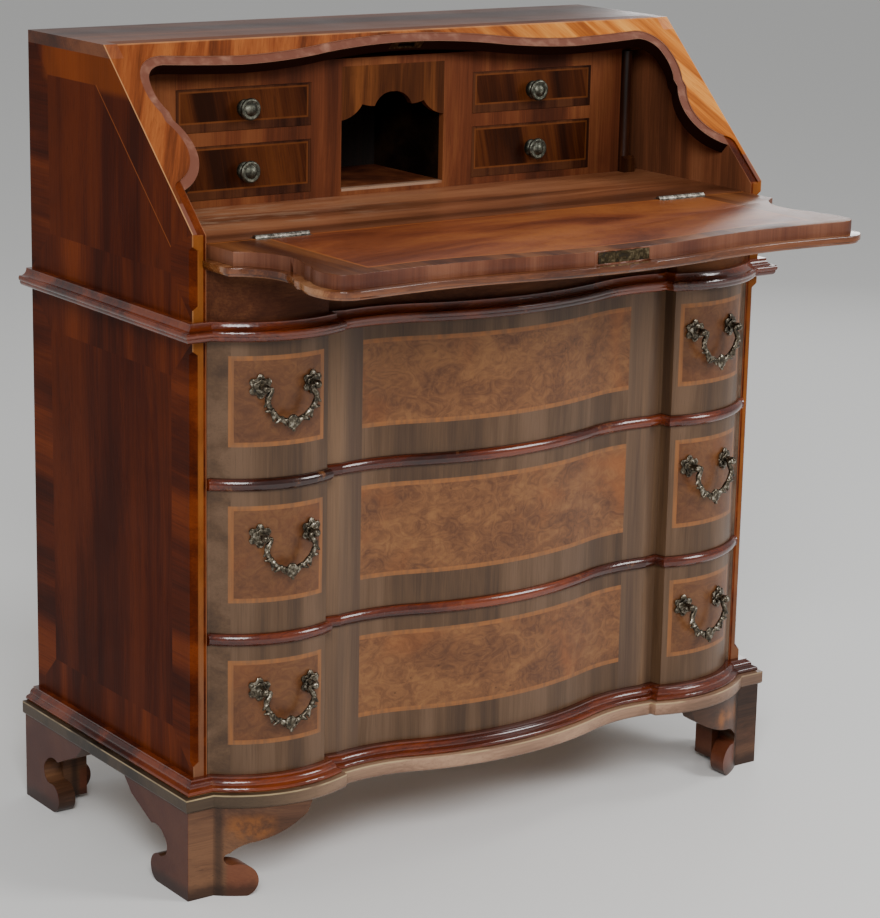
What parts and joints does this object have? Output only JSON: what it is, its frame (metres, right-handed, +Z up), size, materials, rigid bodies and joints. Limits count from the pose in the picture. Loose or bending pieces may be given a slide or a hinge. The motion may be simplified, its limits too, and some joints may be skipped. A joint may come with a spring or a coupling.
{
  "type": "slant-front desk",
  "caption": "Slant-front writing desk with a hinged fall, serpentine drawers with bail handles, a fitted gallery and scrolled bracket feet.",
  "frame": {"origin": "on the floor, under the middle of the whole desk with its fall open", "axes": "+Z up, +Y towards the back of the case, +X to the right seen from the front"},
  "size_m": [0.908, 0.6614, 1],
  "materials": {
    "side_veneer": "polished",
    "frame_veneer": "polished",
    "front_veneer": "polished",
    "moulding": "high polish",
    "foot_wood": "waxed",
    "fall_veneer": "polished",
    "lip_wood": "polished",
    "writing_veneer": "waxed",
    "gallery_veneer": "polished",
    "carcass_wood": "plain",
    "handle_metal": "aged",
    "knob_metal": "aged",
    "hinge_metal": "worn"
  },
  "bodies": {
    "case": {"case_side_left": "side_veneer", "case_side_right": "side_veneer", "top_board": "side_veneer", "bottom_board": "carcass_wood", "back_boards": "carcass_wood", "writing_board": "writing_veneer", "frieze_rail": "front_veneer", "upper_drawer_rail": "moulding", "lower_drawer_rail": "moulding", "base_rail": "carcass_wood", "drawer_runners": "carcass_wood", "dust_boards": "carcass_wood", "waist_moulding": "moulding", "base_moulding": "moulding", "plinth_band": "moulding", "foot_front_left": "foot_wood", "foot_front_right": "foot_wood", "foot_rear_left": "foot_wood", "foot_rear_right": "foot_wood", "slant_stile_left": "frame_veneer", "slant_stile_right": "frame_veneer", "slant_rail": "frame_veneer", "lock_keeper": "hinge_metal", "case_hinge_leaves": "hinge_metal", "gallery_top": "carcass_wood", "gallery_stiles": "gallery_veneer", "gallery_rails": "gallery_veneer", "gallery_shelves": "carcass_wood", "gallery_partitions": "carcass_wood", "gallery_apron": "gallery_veneer", "gallery_end_beads": "gallery_veneer"},
    "fall": {"fall_board": "fall_veneer", "fall_lip": "lip_wood", "fall_lock": "hinge_metal", "fall_hinge_leaves": "hinge_metal"},
    "lock_bolt": {"lock_bolt": "hinge_metal"},
    "top_drawer": {"top_drawer_front": "front_veneer", "top_drawer_box": "carcass_wood", "top_drawer_mounts": "handle_metal"},
    "top_bail_left": {"top_bail_left": "handle_metal"},
    "top_bail_right": {"top_bail_right": "handle_metal"},
    "middle_drawer": {"middle_drawer_front": "front_veneer", "middle_drawer_box": "carcass_wood", "middle_drawer_mounts": "handle_metal"},
    "middle_bail_left": {"middle_bail_left": "handle_metal"},
    "middle_bail_right": {"middle_bail_right": "handle_metal"},
    "bottom_drawer": {"bottom_drawer_front": "front_veneer", "bottom_drawer_box": "carcass_wood", "bottom_drawer_mounts": "handle_metal"},
    "bottom_bail_left": {"bottom_bail_left": "handle_metal"},
    "bottom_bail_right": {"bottom_bail_right": "handle_metal"},
    "small_drawer_upper_left_body": {"small_drawer_upper_left": "gallery_veneer", "small_knob_upper_left": "knob_metal"},
    "small_drawer_upper_right_body": {"small_drawer_upper_right": "gallery_veneer", "small_knob_upper_right": "knob_metal"},
    "small_drawer_lower_left_body": {"small_drawer_lower_left": "gallery_veneer", "small_knob_lower_left": "knob_metal"},
    "small_drawer_lower_right_body": {"small_drawer_lower_right": "gallery_veneer", "small_knob_lower_right": "knob_metal"}
  },
  "joints": [
    {"name": "fall_hinge", "type": "hinge", "parent": "case", "child": "fall", "pos_m": [0, -0.05705, 0.791], "axis": [1, 0, 0], "range_deg": [-136.57, 0]},
    {"name": "lock_bolt_slide", "type": "slide", "parent": "fall", "child": "lock_bolt", "axis": [0, -1, 0], "range_m": [0, 0.012]},
    {"name": "top_drawer_slide", "type": "slide", "parent": "case", "child": "top_drawer", "axis": [0, -1, 0], "range_m": [0, 0.28]},
    {"name": "top_bail_left_swing", "type": "hinge", "parent": "top_drawer", "child": "top_bail_left", "pos_m": [-0.32698, -0.12089, 0.626], "axis": [-0.9936, 0.1125, 0], "range_deg": [0, 85]},
    {"name": "top_bail_right_swing", "type": "hinge", "parent": "top_drawer", "child": "top_bail_right", "pos_m": [0.32698, -0.12089, 0.626], "axis": [-0.9936, -0.1125, 0], "range_deg": [0, 85]},
    {"name": "middle_drawer_slide", "type": "slide", "parent": "case", "child": "middle_drawer", "axis": [0, -1, 0], "range_m": [0, 0.28]},
    {"name": "middle_bail_left_swing", "type": "hinge", "parent": "middle_drawer", "child": "middle_bail_left", "pos_m": [-0.32698, -0.12089, 0.44601], "axis": [-0.9936, 0.1125, 0], "range_deg": [0, 85]},
    {"name": "middle_bail_right_swing", "type": "hinge", "parent": "middle_drawer", "child": "middle_bail_right", "pos_m": [0.32698, -0.12089, 0.44601], "axis": [-0.9936, -0.1125, 0], "range_deg": [0, 85]},
    {"name": "bottom_drawer_slide", "type": "slide", "parent": "case", "child": "bottom_drawer", "axis": [0, -1, 0], "range_m": [0, 0.28]},
    {"name": "bottom_bail_left_swing", "type": "hinge", "parent": "bottom_drawer", "child": "bottom_bail_left", "pos_m": [-0.32698, -0.12089, 0.25599], "axis": [-0.9936, 0.1125, 0], "range_deg": [0, 85]},
    {"name": "bottom_bail_right_swing", "type": "hinge", "parent": "bottom_drawer", "child": "bottom_bail_right", "pos_m": [0.32698, -0.12089, 0.25599], "axis": [-0.9936, -0.1125, 0], "range_deg": [0, 85]},
    {"name": "small_drawer_upper_left_slide", "type": "slide", "parent": "case", "child": "small_drawer_upper_left_body", "axis": [0, -1, 0], "range_m": [0, 0.1]},
    {"name": "small_drawer_upper_right_slide", "type": "slide", "parent": "case", "child": "small_drawer_upper_right_body", "axis": [0, -1, 0], "range_m": [0, 0.1]},
    {"name": "small_drawer_lower_left_slide", "type": "slide", "parent": "case", "child": "small_drawer_lower_left_body", "axis": [0, -1, 0], "range_m": [0, 0.1]},
    {"name": "small_drawer_lower_right_slide", "type": "slide", "parent": "case", "child": "small_drawer_lower_right_body", "axis": [0, -1, 0], "range_m": [0, 0.1]}
  ]
}
